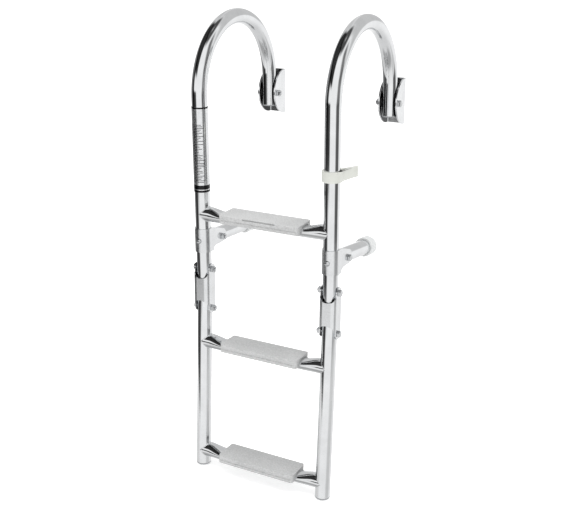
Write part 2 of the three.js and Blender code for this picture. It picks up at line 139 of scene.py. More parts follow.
# ------------------------------------------------------------------------------------------------
# Materials
# ------------------------------------------------------------------------------------------------
class Nodes:
    """Shorthand for one material's node tree."""

    def __init__(self, name):
        self.material = bpy.data.materials.new(name)
        self.material.use_nodes = True
        self.tree = self.material.node_tree
        self.shader = self.tree.nodes["Principled BSDF"]
        self.place = self.add("ShaderNodeTexCoord").outputs["Object"]

    def add(self, kind, **settings):
        node = self.tree.nodes.new(kind)
        for key, value in settings.items():
            if hasattr(node, key):
                setattr(node, key, value)
            else:
                node.inputs[key].default_value = value
        return node

    def link(self, out, into):
        self.tree.links.new(out, into)

    def set(self, **values):
        for key, value in values.items():
            self.shader.inputs[key.replace("_", " ")].default_value = value

    def stretched(self, scale):
        mapping = self.add("ShaderNodeMapping", Scale=scale)
        self.link(self.place, mapping.inputs["Vector"])
        return mapping.outputs["Vector"]

    def noise(self, scale, detail, stretch=None, roughness=0.55):
        node = self.add("ShaderNodeTexNoise", Scale=scale, Detail=detail, Roughness=roughness)
        self.link(self.stretched(stretch) if stretch else self.place, node.inputs["Vector"])
        return node.outputs["Fac"]

    def ramp(self, value, low, high, out_low, out_high):
        limits = {"From Min": low, "From Max": high, "To Min": out_low, "To Max": out_high}
        node = self.add("ShaderNodeMapRange", **limits)
        self.link(value, node.inputs["Value"])
        return node.outputs["Result"]

    def mix(self, factor, a, b):
        node = self.add("ShaderNodeMix", data_type="RGBA")
        self.link(factor, node.inputs["Factor"])
        for key, value in (("A", a), ("B", b)):
            socket = [s for s in node.inputs if s.name == key and s.type == "RGBA"][0]
            if isinstance(value, tuple):
                socket.default_value = (*value, 1)
            else:
                self.link(value, socket)
        return [s for s in node.outputs if s.type == "RGBA"][0]

    def math(self, operation, a, b=0.0):
        node = self.add("ShaderNodeMath", operation=operation)
        for socket, value in zip(node.inputs, (a, b)):
            if isinstance(value, (int, float)):
                socket.default_value = value
            else:
                self.link(value, socket)
        return node.outputs[0]

    def bump(self, height, strength, distance):
        node = self.add("ShaderNodeBump", Strength=strength, Distance=distance)
        previous = self.shader.inputs["Normal"].links
        if previous:
            self.link(previous[0].from_socket, node.inputs["Normal"])
        self.link(height, node.inputs["Height"])
        self.link(node.outputs["Normal"], self.shader.inputs["Normal"])


# near-black painted shade for the inner faces of the mount brackets' ears, and where it stops
BRACKET_INSIDE_SHADE = (0.03, 0.03, 0.031)
SHADE_FRONT_Y = -0.0042          # in front of this, clear of the bracket's back
SHADE_REACH = 0.00008            # past the inner faces


def steel(name, dark, light, rough, brush, brush_depth, shade_inside=False):
    """Stainless steel: cloudy tone, patchy polish and fine polishing lines. If asked, the inner faces of a
    mount bracket's ears are painted near black as shade."""
    n = Nodes(name)
    n.set(Metallic=1.0)
    cloud = n.noise(38, 5)
    tone = n.mix(n.ramp(cloud, 0.3, 0.7, 0, 1), dark, light)
    if shade_inside:
        # painted shade: near black on the ears' inner faces, in front of the bracket's back
        axes = n.add("ShaderNodeSeparateXYZ")
        n.link(n.place, axes.inputs[0])
        off_stile = n.math("SUBTRACT", n.math("ABSOLUTE", axes.outputs["X"]), STILE_X * MM)
        inside = n.math("LESS_THAN", n.math("ABSOLUTE", off_stile), BRACKET_GAP * MM + SHADE_REACH)
        in_front = n.math("LESS_THAN", axes.outputs["Y"], SHADE_FRONT_Y)
        tone = n.mix(n.math("MULTIPLY", inside, in_front), tone, BRACKET_INSIDE_SHADE)
    n.link(tone, n.shader.inputs["Base Color"])
    lines = n.noise(420, 3, stretch=brush)
    patch = n.math("ADD", n.math("MULTIPLY", cloud, 0.6), n.math("MULTIPLY", lines, 0.4))
    n.link(n.ramp(patch, 0.35, 0.65, *rough), n.shader.inputs["Roughness"])
    n.bump(lines, brush_depth, 0.00004)
    n.bump(n.noise(90, 2), 0.05, 0.0002)
    return n.material


def plastic(name, dark, light, rough, grain, depth, speckle=0.3):
    """Moulded plastic: soft mottling, a fine moulded grain and rougher patches. speckle is the grain's
    share of the colour."""
    n = Nodes(name)
    mottle = n.noise(26, 5)
    speck = n.noise(grain, 2, roughness=0.7)
    tone = n.math("ADD", n.math("MULTIPLY", mottle, 1 - speckle), n.math("MULTIPLY", speck, speckle))
    n.link(n.mix(n.ramp(tone, 0.38, 0.62, 0, 1), dark, light), n.shader.inputs["Base Color"])
    n.link(n.ramp(mottle, 0.3, 0.7, *rough), n.shader.inputs["Roughness"])
    n.bump(speck, depth, 0.0003)
    return n.material


LABEL_TOP_RING = 0.0025                             # its height, at the film's upper edge
LABEL_BANDS = ((0, 0.0036), (0.0050, 0.0120))       # from and to, above the lower edge
LABEL_PRINT = (0.016, 0.026)                        # from the lower edge, and from the upper edge
LABEL_ROW = 0.0026                                  # from one row of print to the next
LABEL_BAR_START, LABEL_BAR_ENDS = -0.0118, (0.004, 0.0120)      # across the stile, from its middle
FILM, FILM_LIGHT = (0.74, 0.75, 0.76), (0.82, 0.83, 0.84)
PRINT_GREY, PRINT_BLACK = (0.20, 0.20, 0.205), (0.012, 0.012, 0.013)


def label_material():
    """A grey film printed with plain black rings and rows of short grey bars."""
    n = Nodes("printed_label")
    low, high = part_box("label_sleeve")
    axes = n.add("ShaderNodeSeparateXYZ")
    n.link(n.place, axes.inputs[0])
    height = axes.outputs["Z"]

    def between(value, start, end):
        return n.math("MULTIPLY", n.math("GREATER_THAN", value, start), n.math("LESS_THAN", value, end))

    black = between(height, high.z - LABEL_TOP_RING, high.z)
    for start, end in LABEL_BANDS:
        black = n.math("MAXIMUM", black, between(height, low.z + start, low.z + end))

    row = n.math("MULTIPLY", height, 1 / LABEL_ROW)
    in_row = n.math("LESS_THAN", n.math("FRACT", row), 0.5)
    number = n.add("ShaderNodeTexWhiteNoise", noise_dimensions="1D")
    n.link(n.math("FLOOR", row), number.inputs["W"])
    bar_end = n.ramp(number.outputs["Value"], 0, 1, *LABEL_BAR_ENDS)
    across = n.math("SUBTRACT", axes.outputs["X"], (low.x + high.x) / 2)
    front = n.math("LESS_THAN", axes.outputs["Y"], (low.y + high.y) / 2)
    printed = between(height, low.z + LABEL_PRINT[0], high.z - LABEL_PRINT[1])
    for part in (in_row, between(across, LABEL_BAR_START, bar_end), front):
        printed = n.math("MULTIPLY", printed, part)

    film = n.mix(n.ramp(n.noise(60, 4), 0.35, 0.65, 0, 1), FILM, FILM_LIGHT)
    grey = n.mix(printed, film, PRINT_GREY)
    n.link(n.mix(black, grey, PRINT_BLACK), n.shader.inputs["Base Color"])
    n.link(n.ramp(n.noise(150, 3), 0.3, 0.7, 0.10, 0.18), n.shader.inputs["Roughness"])
    n.set(Metallic=0.92, Coat_Weight=0.3, Coat_Roughness=0.08)
    n.bump(n.noise(500, 2), 0.05, 0.0001)
    return n.material


MATERIALS = {
    "polished_stainless_tube": steel(
        "polished_tube", dark=(0.79, 0.80, 0.81), light=(0.87, 0.88, 0.89), rough=(0.045, 0.10),
        brush=(1, 1, 0.06), brush_depth=0.05),
    "formed_stainless": steel(
        "formed_sheet", dark=(0.76, 0.77, 0.78), light=(0.85, 0.86, 0.87), rough=(0.15, 0.25),
        brush=(0.08, 1, 1), brush_depth=0.12),
    "mount_brackets": steel(
        "bracket_sheet", dark=(0.80, 0.81, 0.82), light=(0.90, 0.91, 0.92), rough=(0.12, 0.2),
        brush=(0.08, 1, 1), brush_depth=0.10, shade_inside=True),
    "stainless_fasteners": steel(
        "fastener_steel", dark=(0.58, 0.59, 0.60), light=(0.74, 0.75, 0.76), rough=(0.12, 0.22),
        brush=(1, 1, 1), brush_depth=0.10),
    "grey_tread_plastic": plastic(
        "tread_plastic", dark=(0.385, 0.388, 0.388), light=(0.505, 0.508, 0.508), rough=(0.55, 0.75),
        grain=420, depth=0.45, speckle=0.75),
    "off_white_clip_plastic": plastic(
        "clip_plastic", dark=(0.54, 0.55, 0.51), light=(0.61, 0.62, 0.58), rough=(0.30, 0.45),
        grain=700, depth=0.12),
    "white_bumpers": plastic(
        "bumper_rubber", dark=(0.60, 0.61, 0.61), light=(0.68, 0.69, 0.69), rough=(0.42, 0.58),
        grain=500, depth=0.12),
    "grey_plugs": plastic(
        "plug_plastic", dark=(0.26, 0.27, 0.28), light=(0.34, 0.35, 0.36), rough=(0.45, 0.60),
        grain=600, depth=0.20),
    # near black as painted shade: the washers sit in the shaded gaps of the brackets and show only as that
    # shade
    "nylon": plastic(
        "nylon_as_painted_shade", dark=(0.012, 0.012, 0.012), light=(0.022, 0.022, 0.022), rough=(0.40, 0.55),
        grain=600, depth=0.10),
    "printed_label": label_material(),
}


# ------------------------------------------------------------------------------------------------
# Mesh building
# ------------------------------------------------------------------------------------------------
def arc(cx, cy, radius, start, end, steps):
    """Corners of an arc, counted from one angle in degrees to the other."""
    return [
        (cx + radius * math.cos(math.radians(start + (end - start) * i / steps)),
         cy + radius * math.sin(math.radians(start + (end - start) * i / steps)))
        for i in range(steps + 1)
    ]


def mesh_object(name, vertices, faces):
    mesh = bpy.data.meshes.new(name)
    mesh.from_pydata([tuple(v) for v in vertices], [], faces)
    work = bmesh.new()
    work.from_mesh(mesh)
    bmesh.ops.remove_doubles(work, verts=work.verts, dist=1e-4)
    bmesh.ops.recalc_face_normals(work, faces=work.faces)
    work.to_mesh(mesh)
    work.free()
    piece = bpy.data.objects.new(name, mesh)
    bpy.context.scene.collection.objects.link(piece)
    return piece


def rings(loops, closed_along=False):
    """Vertices and faces of a skin over equal loops of points, its ends capped unless the last loop joins
    the first."""
    count = len(loops[0])
    vertices = [p for loop in loops for p in loop]
    faces = []
    spans = len(loops) if closed_along else len(loops) - 1
    for i in range(spans):
        a, b = i * count, ((i + 1) % len(loops)) * count
        for j in range(count):
            k = (j + 1) % count
            faces.append((a + j, a + k, b + k, b + j))
    if not closed_along:
        faces.append(tuple(range(count))[::-1])
        faces.append(tuple((len(loops) - 1) * count + j for j in range(count)))
    return vertices, faces


def circle(centre, u, v, radius, count):
    return [
        centre + radius * (math.cos(TAU * j / count) * u + math.sin(TAU * j / count) * v)
        for j in range(count)
    ]


X, Y, Z = Vector((1, 0, 0)), Vector((0, 1, 0)), Vector((0, 0, 1))
AXES = {"x": (X, Y, Z), "y": (Y, Z, X), "z": (Z, X, Y)}


def prism(name, points, axis, a, b):
    """Extrudes an outline from a to b: drawn in Y and Z along x, and in X and Y along z."""
    along, u, v = AXES[axis]
    loops = [[along * t + u * p[0] + v * p[1] for p in points] for t in (a, b)]
    return mesh_object(name, *rings(loops))


def bar(name, axis, radius, a, b, count=48, centre=(0, 0, 0)):
    along, u, v = AXES[axis]
    loops = [circle(Vector(centre) + along * t, u, v, radius, count) for t in (a, b)]
    return mesh_object(name, *rings(loops))


CENTRE_R = 1e-3     # radius of the loop that stands for a point on a turned piece's axis


def lathe(name, profile, axis, count=64):
    """Turns a closed profile of (radius, distance along the axis) round an axis."""
    along, u, v = AXES[axis]
    loops = [circle(along * t, u, v, max(r, CENTRE_R), count) for r, t in profile]
    return mesh_object(name, *rings(loops))


SUPPORT = 2.5       # rims from a tube's end to the loop that keeps the shading of its long faces straight


def tube_skin(frames, outer, inner, count=72, rim=0.35):
    """A thin tube through (centre, u, v) frames, with softened rims."""
    def loop(frame, radius, shift=Vector()):
        centre, u, v = frame
        return circle(centre + shift, u, v, radius, count)

    def rim_loops(end, neighbour):
        """From the edge of the tube's cut face up to its full radius."""
        step = (neighbour[0] - end[0]).normalized() * rim
        return [loop(end, outer - rim), loop(end, outer - rim * 0.3, step * 0.3), loop(end, outer, step),
                loop(end, outer, step * SUPPORT)]

    first, last, middle = frames[0], frames[-1], frames[1:-1]
    loops = rim_loops(first, frames[1])
    loops += [loop(frame, outer) for frame in middle]
    loops += rim_loops(last, frames[-2])[::-1]
    loops += [loop(frame, inner) for frame in (last, *middle[::-1], first)]
    return rings(loops, closed_along=True)


def apply_modifier(piece, kind, **settings):
    """Puts one modifier's result into the piece's mesh."""
    modifier = piece.modifiers.new(kind.lower(), kind)
    for key, value in settings.items():
        setattr(modifier, key, value)
    bpy.context.view_layer.update()
    graph = bpy.context.evaluated_depsgraph_get()
    result = bpy.data.meshes.new_from_object(piece.evaluated_get(graph))
    piece.modifiers.clear()
    old, piece.data = piece.data, result
    bpy.data.meshes.remove(old)


def combine(target, other, operation):
    """Joins, cuts or intersects target with other, which is used up."""
    apply_modifier(target, "BOOLEAN", operation=operation, object=other, solver="EXACT")
    bpy.data.objects.remove(other)


def trim(piece, outline, axis, a, b):
    """Keeps what lies inside an outline extruded from a to b."""
    combine(piece, prism("cut", outline, axis, a, b), "INTERSECT")


def drill(piece, axis, radius, a, b, centre=(0, 0, 0), count=48):
    combine(piece, bar("cut", axis, radius, a, b, count, centre), "DIFFERENCE")


def bake_bevel(piece, width, angle, segments=3):
    """Rounds every edge sharper than angle by width."""
    work = bmesh.new()
    work.from_mesh(piece.data)
    bmesh.ops.remove_doubles(work, verts=work.verts, dist=1e-3)
    bmesh.ops.dissolve_limit(
        work, angle_limit=math.radians(0.5), verts=work.verts, edges=work.edges)
    work.to_mesh(piece.data)
    work.free()
    apply_modifier(piece, "BEVEL", width=width, segments=segments, limit_method="ANGLE",
                   angle_limit=math.radians(angle), use_clamp_overlap=True)


TUBE, SHEET, BOLT = "polished_stainless_tube", "formed_stainless", "stainless_fasteners"
BROAD_FACED = (SHEET, "grey_tread_plastic", "off_white_clip_plastic")


def finish_piece(piece, body, slot, nodes=(), place=Matrix(), sharp=35, look=None):
    """Puts a millimetre mesh in its place in metres, and says what it is. look is given where the
    material isn't the slot's own."""
    piece.data.transform(Matrix.Scale(MM, 4) @ place @ piece.matrix_basis)
    piece.matrix_basis = Matrix()
    piece.data.materials.clear()
    piece.data.materials.append(MATERIALS[look or slot])
    piece.data.shade_smooth()
    piece.data.set_sharp_from_angle(angle=math.radians(sharp))
    if slot in BROAD_FACED:
        apply_modifier(piece, "WEIGHTED_NORMAL", keep_sharp=True, weight=50)
    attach(piece, body)
    if nodes:
        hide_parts(*nodes)


# ------------------------------------------------------------------------------------------------
# Tubes
# ------------------------------------------------------------------------------------------------
def straight_frames(x, z0, z1, steps=8):
    return [(Vector((x, 0, z0 + (z1 - z0) * i / steps)), X, Y) for i in range(steps + 1)]


def upper_rail(name, side):
    x = side * STILE_X
    low, centre, leg = BUTT_Z - RUNG_Z, HOOK_Z - RUNG_Z, LEG_END - RUNG_Z
    frames = straight_frames(x, low, centre - 2)
    steps = 96
    for i in range(steps + 1):
        turn = math.pi * i / steps
        point = Vector((x, HOOK_R * (1 - math.cos(turn)), centre + HOOK_R * math.sin(turn)))
        frames.append((point, X, Vector((0, math.cos(turn), -math.sin(turn)))))
    frames += [(Vector((x, 2 * HOOK_R, z)), X, -Y) for z in (centre - 2, (centre + leg) / 2, leg)]
    piece = mesh_object(f"{name}_hooked_stile", *tube_skin(frames, TUBE_R, TUBE_R - WALL))
    finish_piece(piece, "upper_section", TUBE, [f"{name}_upper_rail"], UPPER)


def lower_rail(name, side):
    head = (PIN_SPACING - BUTT_GAP) / 2
    frames = straight_frames(side * STILE_X, -FOOT_DROP, head)
    piece = mesh_object(f"{name}_lower_stile", *tube_skin(frames, TUBE_R, TUBE_R - WALL))
    finish_piece(piece, "lower_section", TUBE, [f"{name}_lower_rail"], LOWER)


def seam_point(angle, side):
    """A point of the seam where a rung's skin meets the stile's."""
    y, z = -TUBE_R * math.cos(angle), TUBE_R * math.sin(angle)
    reach = math.sqrt(max(TUBE_R**2 - y**2, 0))
    return Vector((side * (STILE_X - reach), y, z))


def pressed(x):
    """How far a rung is pressed down at x: 0 at the stiles, 1 under the tread."""
    t = min(1, max(0, (PRESS_FULL - abs(x)) / (PRESS_FULL - PRESS_FLAT)))
    return 0.5 * t + 0.5 * t * t * (3 - 2 * t)


def rung_point(x, angle, inset):
    """A point of the rung's skin: a circle whose upper half is pressed down and spreads."""
    share = pressed(x)
    wide = TUBE_R + (PRESS_SIDE - TUBE_R) * share - inset
    high = TUBE_R + (PRESS_TOP - TUBE_R) * share - inset
    up = math.sin(angle)
    return Vector((x, -wide * math.cos(angle), (high if up > 0 else TUBE_R - inset) * up))


COPE_SLACK = 0.02       # between a rung's coped end and the stile's skin


def rung(name, body, place):
    """A pressed rung with its ends coped round the stiles, and its two welds."""
    count, steps = 96, 20
    angles = [TAU * j / count for j in range(count)]
    round_x = PRESS_FULL - 0.5
    presses = [round_x + (PRESS_FLAT - round_x) * i / steps for i in range(steps + 1)]

    def end_loop(side, inset, share):
        """Blends from a plain ring, share 0, to the coped end, share 1."""
        points = []
        for angle in angles:
            y = (TUBE_R - inset) * math.cos(angle)
            cope = STILE_X - math.sqrt((TUBE_R + COPE_SLACK) ** 2 - y**2)
            points.append(rung_point(side * (round_x + (cope - round_x) * share), angle, inset))
        return points

    def skin(inset, shares):
        loops = [end_loop(-1, inset, s) for s in shares]
        loops += [[rung_point(-x, a, inset) for a in angles] for x in presses]
        loops += [[rung_point(x, a, inset) for a in angles] for x in reversed(presses)]
        return loops + [end_loop(1, inset, s) for s in reversed(shares)]

    loops = skin(0, (1, 0.75, 0.5, 0.25)) + list(reversed(skin(WALL, (1,))))
    piece = mesh_object(f"{name}_bar", *rings(loops, closed_along=True))
    finish_piece(piece, body, TUBE, [name], place)
    for side_name, side in SIDES:
        weld(f"{name}_{side_name}_weld", side, body, place)


WELD_SINK = 0.9                     # from the seam to the middle of the bead
WELD_R, WELD_R_LOSS = 1.5, 0.3      # the bead's radius, and how much less it is in front and behind
WELD_RIPPLES, RIPPLE_DEPTH = 34, 0.02


def weld(name, side, body, place):
    """A polished weld bead round the seam of a rung and a stile."""
    steps, count = 180, 10
    path = [seam_point(TAU * i / steps, side) for i in range(steps)]
    loops = []
    for i, point in enumerate(path):
        tangent = (path[(i + 1) % steps] - path[i - 1]).normalized()
        angle = TAU * i / steps
        out_rung = Vector((0, -math.cos(angle), math.sin(angle)))
        out_stile = Vector(((point.x - side * STILE_X) / TUBE_R, point.y / TUBE_R, 0))
        out = (out_rung + out_stile).normalized()
        u = (out - tangent * out.dot(tangent)).normalized()
        v = tangent.cross(u)
        ripple = 1 + RIPPLE_DEPTH * math.sin(WELD_RIPPLES * angle)
        fullness = WELD_R - WELD_R_LOSS * abs(math.cos(angle)) ** 3
        loops.append(circle(point - out * WELD_SINK, u, v, fullness * ripple, count))
    piece = mesh_object(name, *rings(loops, closed_along=True))
    finish_piece(piece, body, TUBE, (), place, sharp=80)


SPIGOT = 8                          # how far a plug reaches into its tube
DISH_R, DISH_DEPTH = TUBE_R - 3, 0.35       # of the hollow in the face of a plug


def plug(name, node, body, place, along, flange):
    """A tube plug whose thin flange closes the end: along is +1 for an end that faces down."""
    bore, rounding, edge = TUBE_R - WALL - GAP, 1, -flange * 0.45
    profile = [
        (0, SPIGOT), (bore - rounding, SPIGOT), (bore, SPIGOT - rounding), (bore, -GAP), (TUBE_R, -GAP),
        (TUBE_R, edge), *arc(TUBE_R - rounding, edge, rounding, 0, -90, 5)[1:],
        (DISH_R + 0.8, -flange), (DISH_R, -flange + DISH_DEPTH), (0, -flange + DISH_DEPTH),
    ]
    profile = [(r, max(t, -flange)) for r, t in profile]
    piece = lathe(name, profile, "z")
    turn = Matrix() if along > 0 else Matrix.Rotation(math.pi, 4, "X")
    finish_piece(piece, body, "grey_plugs", [node], place @ turn)


# ------------------------------------------------------------------------------------------------
# Fasteners, along X with the head on +X and the middle of the grip at the origin
# ------------------------------------------------------------------------------------------------
HEX_R, HEAD_H, NUT_H, TAIL, SHANK_R = 5.77, 4.0, 5.6, 2.0, 3.0
HOLE_R = 3.3                        # of the holes that the bolts go through
PITCH, THREAD_DEPTH = 0.8, 0.42
HEX_STEPS = 96


def around_x(j, radius, x):
    """The point at step j of a loop round the X axis."""
    angle = TAU * j / HEX_STEPS
    return Vector((x, radius * math.sin(angle), radius * math.cos(angle)))


def round_loop(x, radius):
    return [around_x(j, radius, x) for j in range(HEX_STEPS)]


def hex_loops(base, top, chamfer_base):
    """Loops of a hexagon prism along X whose corners are turned away at the top, and at the base too
    if asked."""
    apothem = HEX_R * math.cos(math.pi / 6)
    inner = apothem * 0.97
    way = 1 if top > base else -1

    def reach(j):
        angle = (TAU * j / HEX_STEPS + math.pi / 6) % (math.pi / 3) - math.pi / 6
        return apothem / math.cos(math.pi / 6 - abs(angle))

    def turned_edge(x, outward):
        """The hexagon's outline where its corners are turned away, lowest at the corners."""
        drops = [max(0.05, (reach(j) - inner) * 0.55) for j in range(HEX_STEPS)]
        return [around_x(j, reach(j), x - outward * drop) for j, drop in enumerate(drops)]

    if chamfer_base:
        loops = [round_loop(base, inner), turned_edge(base, -way)]
    else:
        softened = 0.1
        loops = [[around_x(j, reach(j) - softened, base) for j in range(HEX_STEPS)],
                 [around_x(j, reach(j), base + way * softened) for j in range(HEX_STEPS)]]
    return loops + [turned_edge(top, way), round_loop(top, inner)]


def bolt(stem, body, place, grip):
    """A threaded shank with a hexagon head, which has a shallow round dimple."""
    base = grip / 2 + GAP
    top = base + HEAD_H
    head = hex_loops(base, top, False)
    head += [round_loop(top, 3.6), round_loop(top - 0.25, 3.3), round_loop(top - 0.3, CENTRE_R)]
    end, chamfer = -grip / 2 - NUT_H - TAIL, 0.7
    thread_end = -grip / 2 - NUT_H + 0.6        # just inside the nut
    profile = [(CENTRE_R, end), (SHANK_R - chamfer, end), (SHANK_R, end + chamfer)]
    t = end + chamfer
    while t < thread_end:
        profile += [(SHANK_R, t + 0.1), (SHANK_R - THREAD_DEPTH, t + PITCH / 2), (SHANK_R, t + PITCH - 0.1)]
        t += PITCH
    profile += [(SHANK_R, base + 0.05)]
    shank = [round_loop(x, radius) for radius, x in profile]
    piece = mesh_object(f"{stem}_hex_bolt", *rings(shank + head))
    finish_piece(piece, body, BOLT, [f"{stem}_bolt"], place, sharp=28)


def nut(stem, body, place, grip):
    """A hexagon nut, its hole chamfered at both faces."""
    base = -grip / 2 - GAP
    top = base - NUT_H
    hole, chamfer = SHANK_R + 0.12, 0.5
    bore = [(hole + chamfer, top), (hole, top + chamfer), (hole, base - chamfer), (hole + chamfer, base)]
    loops = hex_loops(base, top, True) + [round_loop(x, radius) for radius, x in bore]
    piece = mesh_object(f"{stem}_hex_nut", *rings(loops, closed_along=True))
    finish_piece(piece, body, BOLT, [f"{stem}_nut"], place, sharp=28)


def fastener(stem, body, place, side, grip):
    """A bolt and nut through the thickness grip, with the head on the outer side of the ladder."""
    turned = place if side > 0 else place @ Matrix.Rotation(math.pi, 4, "Z")
    bolt(stem, body, turned, grip)
    nut(stem, body, turned, grip)


# ------------------------------------------------------------------------------------------------
# Sheet parts
# ------------------------------------------------------------------------------------------------
def mount_bracket(name, side):
    low, high = box_mm(f"{name}_mount_bracket")
    outer, radius = (high.x - low.x) / 2, (high.z - low.z) / 2
    back, front = high.y - MOUNT.y, low.y - MOUNT.y
    sheet, bend, gap = 2.5, 4.0, BRACKET_GAP
    inner = bend - sheet
    section = [
        (outer, front), *arc(outer - bend, back - bend, bend, 0, 90, 12),
        *arc(-outer + bend, back - bend, bend, 90, 180, 12), (-outer, front), (-gap, front),
        *arc(-gap + inner, back - bend, inner, 180, 90, 8),
        *arc(gap - inner, back - bend, inner, 90, 0, 8), (gap, front),
    ]
    half_moon = [(back + 1, -radius), (back + 1, radius), *arc(front + radius, 0, radius, 90, 270, 96)]
    piece = prism(f"{name}_bracket_sheet", section, "z", -radius - 1, radius + 1)
    trim(piece, half_moon, "x", -outer - 2, outer + 2)
    drill(piece, "x", HOLE_R, -outer - 2, outer + 2)
    for z in (-SCREW_DROP, SCREW_DROP):
        drill(piece, "y", HOLE_R, back - 2 * sheet, back + 2, (0, 0, z))
    bake_bevel(piece, 1.0, 40, segments=4)
    place = Matrix.Translation((side * STILE_X, MOUNT.y, MOUNT.z))
    finish_piece(piece, "mount_brackets", SHEET, [f"{name}_mount_bracket"], place, look="mount_brackets")
    fastener(f"{name}_mount", "mount_brackets", place, side, 2 * outer)
    for way in ("inner", "outer"):
        washer(f"{name}_{way}")


def washer(name):
    low, high = box_mm(f"{name}_washer")
    radius, hole_edge, edge = (high.z - low.z) / 2, 0.1, 0.2
    profile = [
        (HOLE_R, low.x + hole_edge), (HOLE_R + hole_edge, low.x), (radius - edge, low.x),
        (radius, low.x + edge), (radius, high.x - edge), (radius - edge, high.x),
        (HOLE_R + hole_edge, high.x), (HOLE_R, high.x - hole_edge),
    ]
    loops = [circle(Vector((x, 0, 0)), Y, Z, r, 64) for r, x in profile]
    piece = mesh_object(f"{name}_nylon_washer", *rings(loops, closed_along=True))
    place = Matrix.Translation((0, MOUNT.y, MOUNT.z))
    finish_piece(piece, "mount_brackets", "nylon", [f"{name}_washer"], place)


def hinge_channel(name, side):
    half, sheet, bend = 14.6, 1.7, 7.8
    ear_y, ear_r = 0.6, 9.2
    notch_side, notch_depth = 7.2, 8.0
    inner, corner, back = half - sheet, bend - sheet, ear_y + ear_r
    section = [
        (half, back), *arc(half - bend, -half + bend, bend, 0, -90, 16),
        *arc(-half + bend, -half + bend, bend, -90, -180, 16), (-half, back), (-inner, back),
        *arc(-inner + corner, -inner + corner, corner, 180, 270, 14),
        *arc(inner - corner, -inner + corner, corner, 270, 360, 14), (inner, back),
    ]
    side_outline = [
        (-half - 1, -notch_side), (ear_y - ear_r, -notch_side), *arc(ear_y, 0, ear_r, 180, 0, 48),
        *arc(ear_y, -PIN_SPACING, ear_r, 0, -180, 48),
        (ear_y - ear_r, -PIN_SPACING + notch_side), (-half - 1, -PIN_SPACING + notch_side),
    ]
    piece = prism(f"{name}_hinge_sheet", section, "z", -PIN_SPACING - ear_r - 2, ear_r + 2)
    trim(piece, side_outline, "x", -half - 2, half + 2)
    for z in (0, -PIN_SPACING):
        drill(piece, "x", HOLE_R, -half - 2, half + 2, (0, 0, z))
    scoop_r = inner - 0.1
    for z in (-notch_side, -PIN_SPACING + notch_side):
        scoop = bar("cut", "y", scoop_r, -half - 2, -half + bend, 96)
        scoop.data.transform(Matrix.Translation((0, 0, z)) @ Matrix.Scale(notch_depth / scoop_r, 4, Z))
        combine(piece, scoop, "DIFFERENCE")
    bake_bevel(piece, 0.35, 40)
    place = LINKS @ Matrix.Translation((side * STILE_X, 0, 0))
    finish_piece(piece, "hinge_links", SHEET, [f"{name}_hinge_channel"], place)
    for stem, z in ((f"{name}_upper_hinge", 0), (f"{name}_lower_hinge", -PIN_SPACING)):
        fastener(stem, "hinge_links", place @ Matrix.Translation((0, 0, z)), side, 2 * half)


RIVET_R, RIVET_HEAD_R, RIVET_HEAD_H, RIVET_LENGTH = 2.0, 4.4, 2.0, 4


def collar(name, side):
    inner, sheet, back = 12.8, 1.5, 9.0
    top, bottom, rivet_z = -25.0, -65.0, -45.0
    outer = inner + sheet
    ear_r = HEX_R + 6
    ear_end = ARM_Y + ear_r
    section = [
        (outer, ear_end), *arc(0, 0, outer, 0, -180, 64), (-outer, ear_end), (-inner, ear_end),
        *arc(0, 0, inner, 180, 360, 64), (inner, ear_end),
    ]
    side_outline = [
        (-outer - 1, top), (back, top), *arc(ARM_Y, ARM_Z + 2, ear_r, 75, -80, 40),
        (back + 6, ARM_Z - 9), (back, ARM_Z - 12), (back, bottom), (-outer - 1, bottom),
    ]
    piece = prism(f"{name}_collar_sheet", section, "z", bottom - 1, top + 1)
    trim(piece, side_outline, "x", -outer - 2, outer + 2)
    drill(piece, "y", RIVET_R + GAP, -2 * TUBE_R, 0, (0, 0, rivet_z))
    drill(piece, "x", HOLE_R, -outer - 2, outer + 2, (0, ARM_Y, ARM_Z))
    bake_bevel(piece, 0.3, 40)
    place = UPPER @ Matrix.Translation((side * STILE_X, 0, 0))
    finish_piece(piece, "upper_section", SHEET, [f"{name}_standoff_collar"], place)
    face, steps = -(outer + GAP), 12
    angles = [math.pi / 2 * (1 - i / steps) for i in range(steps + 1)]
    dome = [(RIVET_HEAD_R * math.cos(a), face - RIVET_HEAD_H * math.sin(a)) for a in angles]
    shank = [(RIVET_R, face), (RIVET_R, face + RIVET_LENGTH), (0, face + RIVET_LENGTH)]
    rivet = lathe(f"{name}_strap_rivet", dome + shank, "y")
    at_rivet = place @ Matrix.Translation((0, 0, rivet_z))
    finish_piece(rivet, "upper_section", BOLT, [f"{name}_collar_rivet"], at_rivet)
    at_bolt = place @ Matrix.Translation((0, ARM_Y, ARM_Z))
    fastener(f"{name}_standoff", "upper_section", at_bolt, side, 2 * outer)


